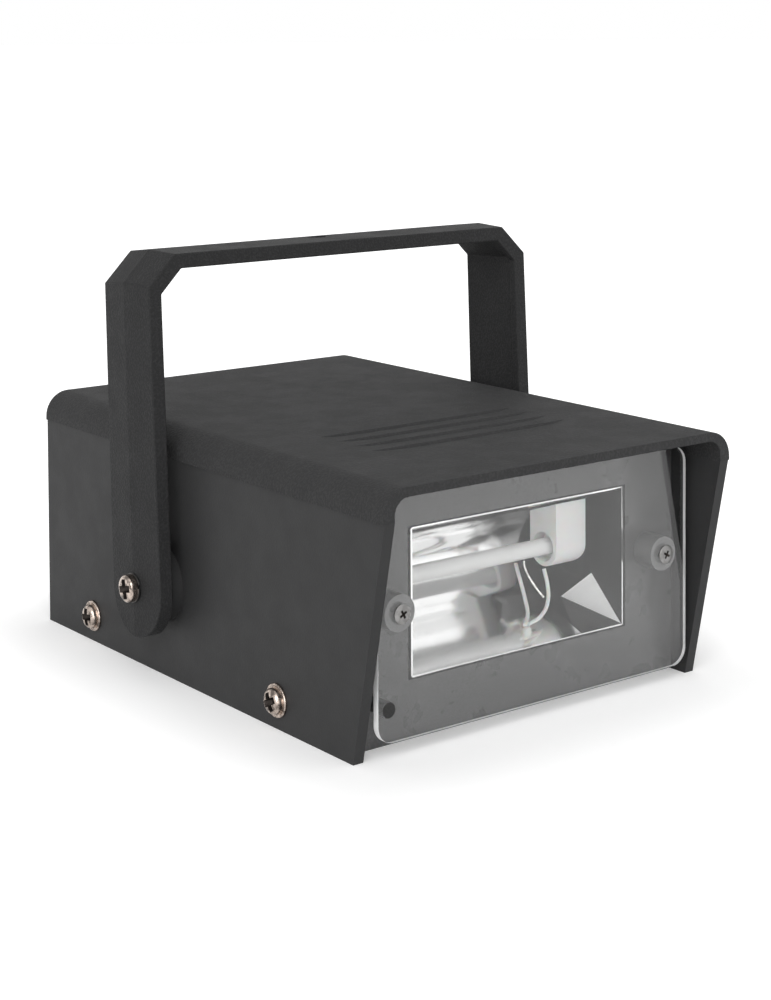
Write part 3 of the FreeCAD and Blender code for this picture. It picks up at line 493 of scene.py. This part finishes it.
def cut_mesh(mesh, cutters, outside, inside):
    """The mesh with the cutters taken away, each face with the material of what made it."""
    mesh.materials.append(outside)
    for cutter in cutters:
        cutter.materials.append(inside)
    solid = bpy.data.objects.new("solid", mesh)
    tools = [bpy.data.objects.new("tool", cutter) for cutter in cutters]
    for thing in (solid, *tools):
        bpy.context.scene.collection.objects.link(thing)
    for tool in tools:
        cut = solid.modifiers.new("cut", "BOOLEAN")
        cut.operation = "DIFFERENCE"
        cut.solver = "EXACT"
        cut.material_mode = "TRANSFER"
        cut.object = tool
    done = bpy.data.meshes.new_from_object(solid.evaluated_get(bpy.context.evaluated_depsgraph_get()))
    for thing in (solid, *tools):
        bpy.data.objects.remove(thing)
    return done


def placed_copies(mesh, frames):
    """One mesh holding a copy of the mesh at each frame."""
    shape = bmesh.new()
    for matrix in frames:
        copy = mesh.copy()
        copy.transform(matrix)
        shape.from_mesh(copy)
    joined = bpy.data.meshes.new("copies")
    for material in mesh.materials:
        joined.materials.append(material)
    shape.to_mesh(joined)
    shape.free()
    return joined


def facing(direction, place, turn=0.0):
    """Frame whose Z points along direction, at a place in millimetres, turned about it in degrees."""
    aim = Vector(direction).to_track_quat("Z", "Y").to_matrix().to_4x4()
    return Matrix.Translation(Vector(place) * MM) @ aim @ Matrix.Rotation(math.radians(turn), 4, "Z")


# Screws: (radius, level) points in millimetres from the tip up, with level 0 at the seat
WASHER = 0.5
PAN_HEAD = [
    (0, -9), (1.5, -9), (1.5, WASHER), (2.8, WASHER), (2.8, 1.55), (2.7, 1.8), (2.45, 2.0), (2.0, 2.1),
    (1.0, 2.17), (0, 2.2),
]
FLANGED_HEAD = [
    (0, -8), (1.45, -8), (1.45, 0), (3.3, 0), (3.3, 0.35), (3.2, 0.5), (3.0, 0.55), (2.65, 0.42),
    (2.55, 0.42), (2.55, 1.1), (2.4, 1.5), (2.05, 1.82), (1.4, 2.0), (0, 2.05),
]
FLUSH_HEAD = [
    (0, -11), (1.1, -11), (1.1, -0.8), (1.85, -0.05), (1.85, 0.04), (1.6, 0.16), (0.9, 0.26), (0, 0.28),
]
# each kind's shape and the cross in its head: its reach, half width, top and depth
SCREW_KINDS = {
    "pivot_screws": (PAN_HEAD, (2.3, 0.75, 2.4, 1.6)),
    "cover_screws": (FLANGED_HEAD, (2.1, 0.7, 2.2, 1.5)),
    "window_screws": (FLUSH_HEAD, (1.1, 0.26, 0.5, 0.7)),
}
SCREW_EDGE = 0.05
# where each kind's seats are: the direction that the heads face, the seat's place and the turn of the cross
SCREW_PLACES = {
    "pivot_screws": [((-1, 0, 0), (-50.7, 13.1, 19.4), 12), ((1, 0, 0), (50.7, 13.1, 19.4), 40)],
    "cover_screws": [
        ((-1, 0, 0), (-43.7, 42.4, 5.6), 8), ((-1, 0, 0), (-43.7, -28.7, 5.6), 26),
        ((1, 0, 0), (43.7, 42.4, 5.6), 51), ((1, 0, 0), (43.7, -28.7, 5.6), 70),
    ],
    "window_screws": [((0, -1, 0), (-33.8, -55.0, 26.4), 30), ((0, -1, 0), (33.8, -55.0, 26.4), 62)],
}


def make_screws():
    """The screws of each kind as one piece, with their heads' true shape and cross recess, the recess painted
    dark as painted shade.
    """
    # the near-black recess finish is painted shade in the hollow of the cross
    recess = plated_metal("recess_painted_shade", (0.035, 0.03, 0.027), 0.5)
    for name, (profile, cross) in SCREW_KINDS.items():
        screw = cut_mesh(lathe_mesh(profile), cross_cutter(*cross), MATERIALS[name], recess)
        copies = placed_copies(screw, [facing(*place) for place in SCREW_PLACES[name]])
        soften(add_piece(f"{name}_detailed", copies, node=name), SCREW_EDGE)


# Split washers under the heads at the pivots: outer and inner radius and how far the ends stand apart, in
# millimetres, the steps of their turn, and where it starts and how far it goes in degrees
WASHER_OUTER = 3.0
WASHER_INNER = 1.6
WASHER_RISE = 0.18
WASHER_STEPS = 44
WASHER_START = 10
WASHER_TURN = 345


def make_lock_washers():
    """One turn of square wire under each head, with its ends apart."""
    mesh = bpy.data.meshes.new("washer")
    corners = []
    for step in range(WASHER_STEPS + 1):
        share = step / WASHER_STEPS
        turn = math.radians(WASHER_START + WASHER_TURN * share)
        under = WASHER_RISE * share
        over = under + WASHER - WASHER_RISE
        ring = ((WASHER_INNER, under), (WASHER_OUTER, under), (WASHER_OUTER, over), (WASHER_INNER, over))
        for radius, level in ring:
            corners.append(Vector((radius * math.cos(turn), radius * math.sin(turn), level)) * MM)
    faces = [(0, 1, 2, 3), tuple(len(corners) - 4 + n for n in (3, 2, 1, 0))]
    for step in range(WASHER_STEPS):
        for side in range(4):
            here, there = step * 4 + side, step * 4 + (side + 1) % 4
            faces.append((here, here + 4, there + 4, there))
    mesh.from_pydata(corners, [], faces)
    copies = placed_copies(mesh, [facing(*place) for place in SCREW_PLACES["pivot_screws"]])
    dark_steel = plated_metal("washer_steel", (0.12, 0.115, 0.11), 0.35)
    soften(add_piece("pivot_lock_washers", copies, dark_steel), SCREW_EDGE)


# Wires: the points they pass through and their radius, in millimetres
LEAD_PATHS = [
    [(12.8, -40.8, 24.15), (12.85, -41.9, 20.6), (12.5, -42.3, 18.0), (9.4, -43.8, 15.9), (5.2, -44.75, 15.1)],
    [(10.8, -34.4, 24.15), (9.6, -37.2, 21.5), (9.3, -38.9, 18.4), (6.8, -42.6, 16.3), (4.2, -44.75, 15.1)],
]
TRIGGER_PATH = [(10.2, -37.6, 25.5), (10.2, -37.9, 24.2), (11.0, -40.0, 20.8), (12.0, -41.6, 18.6)]
LEAD_RADIUS = 0.4
TRIGGER_RADIUS = 0.25
CURVE_STEPS = 10
ROUND_STEPS = 5


def wire_mesh(points, radius):
    """A round wire that bends smoothly through the points."""
    curve = bpy.data.curves.new("wire", "CURVE")
    curve.dimensions = "3D"
    curve.bevel_depth = radius * MM
    curve.bevel_resolution = ROUND_STEPS
    curve.resolution_u = CURVE_STEPS
    curve.use_fill_caps = True
    spline = curve.splines.new("BEZIER")
    spline.bezier_points.add(len(points) - 1)
    for knot, point in zip(spline.bezier_points, points):
        knot.co = Vector(point) * MM
        knot.handle_left_type = knot.handle_right_type = "AUTO"
    bent = bpy.data.objects.new("wire", curve)
    bpy.context.scene.collection.objects.link(bent)
    mesh = bpy.data.meshes.new_from_object(bent.evaluated_get(bpy.context.evaluated_depsgraph_get()))
    bpy.data.objects.remove(bent)
    return mesh


def make_wires():
    shape = bmesh.new()
    for path in LEAD_PATHS:
        shape.from_mesh(wire_mesh(path, LEAD_RADIUS))
    leads = bpy.data.meshes.new("leads")
    shape.to_mesh(leads)
    shape.free()
    add_piece("lamp_leads_smooth", leads, MATERIALS["lamp_leads"], "lamp_leads")
    trigger = wire_mesh(TRIGGER_PATH, TRIGGER_RADIUS)
    add_piece("trigger_wire_smooth", trigger, MATERIALS["trigger_wire"], "trigger_wire")


# The bead that the leads share, in the trough's lower wall
BEAD = [(0, -1.5), (0.9, -1.5), (0.9, 0.5), (0.85, 0.9), (0.6, 1.2), (0, 1.3)]
BEAD_PLACE = (4.7, -44.75, 13.45)


def make_bead():
    mesh = placed_copies(lathe_mesh(BEAD), [facing((0, 0, 1), BEAD_PLACE)])
    add_piece("lead_eyelet_round", mesh, MATERIALS["lead_eyelet"], "lead_eyelet")


# Mirror trough in millimetres: its opening, how it closes in, and how far its ends lean
MIRROR_FRONT = -48.5
MIRROR_DEPTH = 20.0
MIRROR_HALF_WIDTH = 27.3
MIRROR_MIDDLE = 26.05
MIRROR_HALF_HEIGHT = 13.9
MIRROR_BACK_HALF = 7.0
MIRROR_END_LEAN = 27.0
MIRROR_WALL = 0.3
ARC_STEPS = 20
# the round back is a little smaller than the widest that fits between the walls
BACK_SHARE = 0.98
# the triangle painted bright at each end's foot, a painted bright reflection: how deep its foot goes, and the
# (depth, height) of its top
GLINT_FOOT_DEPTH = 12.0
GLINT_TOP = (5.9, -4.2)
# on the right the lower wall's front strip is painted dark beyond this far from the middle, a painted dark
# reflection
MIRROR_PAINTED_DARK_FROM = 16.0
# the finishes of the mirror's faces, by their place in its list of materials: plain mirror, painted dark
# reflection and painted bright reflection
PLAIN, PAINTED_DARK, PAINTED_BRIGHT = range(3)


def mirror_section():
    """(depth, height) points over the trough's inside, from its lower front edge round to its upper one."""
    fall = (MIRROR_HALF_HEIGHT - MIRROR_BACK_HALF) / MIRROR_DEPTH
    stretch = math.hypot(1, fall)
    radius = MIRROR_BACK_HALF * (stretch + fall) * BACK_SHARE
    middle = MIRROR_DEPTH - radius
    rise = MIRROR_HALF_HEIGHT - fall * middle - radius * stretch
    widest = math.atan2(1, fall)
    upper = [
        (middle + radius * math.cos(turn), rise + radius * math.sin(turn))
        for turn in (widest * step / ARC_STEPS for step in range(ARC_STEPS + 1))
    ] + [(0.0, MIRROR_HALF_HEIGHT)]
    lower = [(depth, -height) for depth, height in reversed(upper)]
    foot = (GLINT_FOOT_DEPTH, GLINT_FOOT_DEPTH * fall - MIRROR_HALF_HEIGHT)
    return [lower[0], foot] + lower[1:] + upper


def mirror_corners(section):
    """For each side the end's outline, the top of its triangle painted bright, and the line beside the strip
    painted dark.
    """
    lean = math.tan(math.radians(MIRROR_END_LEAN))
    corners = []
    for side in (-1, 1):
        ends = [(MIRROR_HALF_WIDTH - depth * lean, depth, height) for depth, height in section + [GLINT_TOP]]
        inner = [(MIRROR_PAINTED_DARK_FROM, depth, height) for depth, height in section]
        corners += [(across * side, depth, height) for across, depth, height in ends + inner]
    return corners


def mirror_faces(count):
    """The faces over the mirror's corners, where an outline has count of them, each with its finish; the ends
    and one strip get a painted dark reflection and the triangles a painted bright one.
    """
    half = count * 2 + 1
    columns = [0, count + 1, half + count + 1, half]
    faces = []
    for here, there in zip(columns, columns[1:]):
        for n in range(count - 1):
            finish = PAINTED_DARK if n == 0 and there == half else PLAIN
            faces.append(((here + n, here + n + 1, there + n + 1, there + n), finish))
    faces += [((0, 1, count), PAINTED_BRIGHT), ((half, half + count, half + 1), PAINTED_BRIGHT)]
    left_end = (0, count, *range(1, count))
    right_end = (half, *range(half + count - 1, half, -1), half + count)
    return faces + [(left_end, PAINTED_DARK), (right_end, PAINTED_DARK)]


def make_mirror():
    """The trough; its ends and part of its lower wall are painted dark as a painted reflection, and each end
    has a triangle painted bright as a painted reflection.
    """
    section = mirror_section()
    faces = mirror_faces(len(section))
    mesh = bpy.data.meshes.new("mirror")
    start = Vector((0, MIRROR_FRONT, MIRROR_MIDDLE))
    corners = [(start + Vector(corner)) * MM for corner in mirror_corners(section)]
    mesh.from_pydata(corners, [], [face for face, _ in faces])
    piece = add_piece("mirror_trough", mesh, MATERIALS["reflector"], "reflector")
    # the ends' near-black finish is a painted dark reflection
    mesh.materials.append(polished_sheet("mirror_end_painted_reflection", (0.03, 0.03, 0.03)))
    # the triangles' white finish is a painted bright reflection
    mesh.materials.append(dull_solid("mirror_painted_glint", (0.98, 0.98, 0.98), 0.2))
    for polygon, (_, finish) in zip(mesh.polygons, faces):
        polygon.material_index = finish
    wall = piece.modifiers.new("wall", "SOLIDIFY")
    wall.thickness = MIRROR_WALL * MM
    wall.offset = 1.0
    wall.use_even_offset = True
    wall.material_offset_rim = -PAINTED_BRIGHT
    split = piece.modifiers.new("split", "EDGE_SPLIT")
    split.split_angle = math.radians(CORNER_ANGLE)


# Marks round the speed knob, in millimetres, and how far they reach round it each way in degrees
DIAL_MIDDLE = (20.0, 26.0)
DIAL_BACK = 61.25
DIAL_TURN = 150
DIAL_COUNT = 11
DIAL_INNER = 9.2
DIAL_OUTER = 11.0
DIAL_HALF_WIDTH = 0.25
MARK_HEIGHT = 0.04


def make_dial_marks():
    """Raised printing on the rear panel: one short line for each step of the speed knob's turn."""
    mesh = bpy.data.meshes.new("marks")
    shape = bmesh.new()
    for number in range(DIAL_COUNT):
        turn = math.radians(DIAL_TURN * (2 * number / (DIAL_COUNT - 1) - 1))
        mark = Matrix.Translation((0, 0, (DIAL_INNER + DIAL_OUTER) / 2))
        size = Matrix.Diagonal((DIAL_HALF_WIDTH * 2, MARK_HEIGHT, DIAL_OUTER - DIAL_INNER, 1))
        bmesh.ops.create_cube(shape, size=1.0, matrix=Matrix.Rotation(turn, 4, "Y") @ mark @ size)
    middle, level = DIAL_MIDDLE
    place = Matrix.Translation(Vector((middle, DIAL_BACK + MARK_HEIGHT / 2, level)) * MM)
    bmesh.ops.transform(shape, matrix=place @ Matrix.Diagonal((MM, MM, MM, 1)), verts=shape.verts)
    shape.to_mesh(mesh)
    shape.free()
    add_piece("dial_marks", mesh, dull_solid("mark_white", (0.7, 0.7, 0.7), 0.6))


# Studio

# strength of the light from all round, and what is added to the floor where the camera sees it, less near the
# object so that a painted shadow lies round its foot
SKY_LIGHT = 0.62
LIFT_IN_PAINTED_SHADOW = 0.16
LIFT_FAR = 0.4
# how far from the object's footprint the lift is full, which is how far the painted shadow reaches, and half
# the footprint's width and depth, in millimetres
LIFT_REACH = 35
FOOT_HALF_WIDTH = 43.7
FOOT_HALF_DEPTH = 61.2
# half the floor's side in metres
FLOOR_HALF = 20.0


def seen_directly(tree):
    """1 for what the camera sees, also in mirrors and through glass, and 0 for light that falls on things."""
    path = tree.nodes.new("ShaderNodeLightPath")
    seen = path.outputs["Is Camera Ray"]
    for kind in ("Is Glossy Ray", "Is Transmission Ray"):
        either = tree.nodes.new("ShaderNodeMath")
        either.operation = "MAXIMUM"
        tree.links.new(seen, either.inputs[0])
        tree.links.new(path.outputs[kind], either.inputs[1])
        seen = either.outputs["Value"]
    return seen


def clear_of_object(paint):
    """How far a place on the floor is from the object's footprint, in metres."""
    parts = paint.node("ShaderNodeSeparateXYZ")
    paint.link(paint.place, parts.inputs["Vector"])
    gaps = []
    for letter, half in (("X", FOOT_HALF_WIDTH), ("Y", FOOT_HALF_DEPTH)):
        beyond = paint.math("SUBTRACT", paint.math("ABSOLUTE", parts.outputs[letter], 0.0), half * MM)
        gap = paint.math("MAXIMUM", beyond, 0.0)
        gaps.append(paint.math("MULTIPLY", gap, gap))
    return paint.math("SQRT", paint.math("ADD", *gaps), 0.0)


def make_studio():
    """White floor that keeps the shadow and is lifted to white, away from the object, where it is seen; nearer
    the object it is lifted less, which paints a shadow round its foot.
    """
    paint = Paint("floor_white", Roughness=0.9, Specular_IOR_Level=0.1)
    cloud = paint.noise(0.5, detail=1)
    paint.colour(paint.blended(cloud, (0.93, 0.93, 0.93), (0.94, 0.94, 0.94)))
    paint.shader.inputs["Emission Color"].default_value = (1, 1, 1, 1)
    # less lift near the footprint: painted shadow round the object's foot
    lift = paint.ramp(clear_of_object(paint), 0.0, LIFT_REACH * MM, LIFT_IN_PAINTED_SHADOW, LIFT_FAR)
    seen = paint.math("MULTIPLY", lift, seen_directly(paint.tree))
    paint.link(seen, paint.shader.inputs["Emission Strength"])
    mesh = bpy.data.meshes.new("floor")
    corners = [(FLOOR_HALF * x, FLOOR_HALF * y, 0) for x, y in ((-1, -1), (1, -1), (1, 1), (-1, 1))]
    mesh.from_pydata(corners, [], [(0, 1, 2, 3)])
    mesh.materials.append(paint.material)
    floor = bpy.data.objects.new("floor", mesh)
    bpy.context.scene.collection.objects.link(floor)


def soft_sun(name, heading, height, spread, strength):
    """Even soft light from a heading, counted from the front towards the right, and a height in degrees."""
    data = bpy.data.lights.new(name, "SUN")
    data.angle = math.radians(spread)
    data.energy = strength
    light = bpy.data.objects.new(name, data)
    bpy.context.scene.collection.objects.link(light)
    light.rotation_euler = (math.radians(90 - height), 0, math.radians(heading))


def make_world():
    """Even light from all round, with white where the camera sees past the object."""
    world = bpy.data.worlds.new("studio")
    world.use_nodes = True
    tree = world.node_tree
    background = tree.nodes["Background"]
    background.inputs["Color"].default_value = (1, 1, 1, 1)
    strength = tree.nodes.new("ShaderNodeMapRange")
    strength.inputs["To Min"].default_value = SKY_LIGHT
    strength.inputs["To Max"].default_value = 1.0
    tree.links.new(seen_directly(tree), strength.inputs["Value"])
    tree.links.new(strength.outputs["Result"], background.inputs["Strength"])
    bpy.context.scene.world = world


make_camera()
mark_ridge(NODES["bracket"].data)
dress_nodes()
finish_window()
make_screws()
make_lock_washers()
make_wires()
make_bead()
make_mirror()
make_dial_marks()
make_studio()
make_world()
soft_sun("key", heading=-43, height=24, spread=60, strength=2.1)
soft_sun("top", heading=20, height=60, spread=70, strength=0.25)

bpy.context.scene.view_settings.view_transform = "Standard"
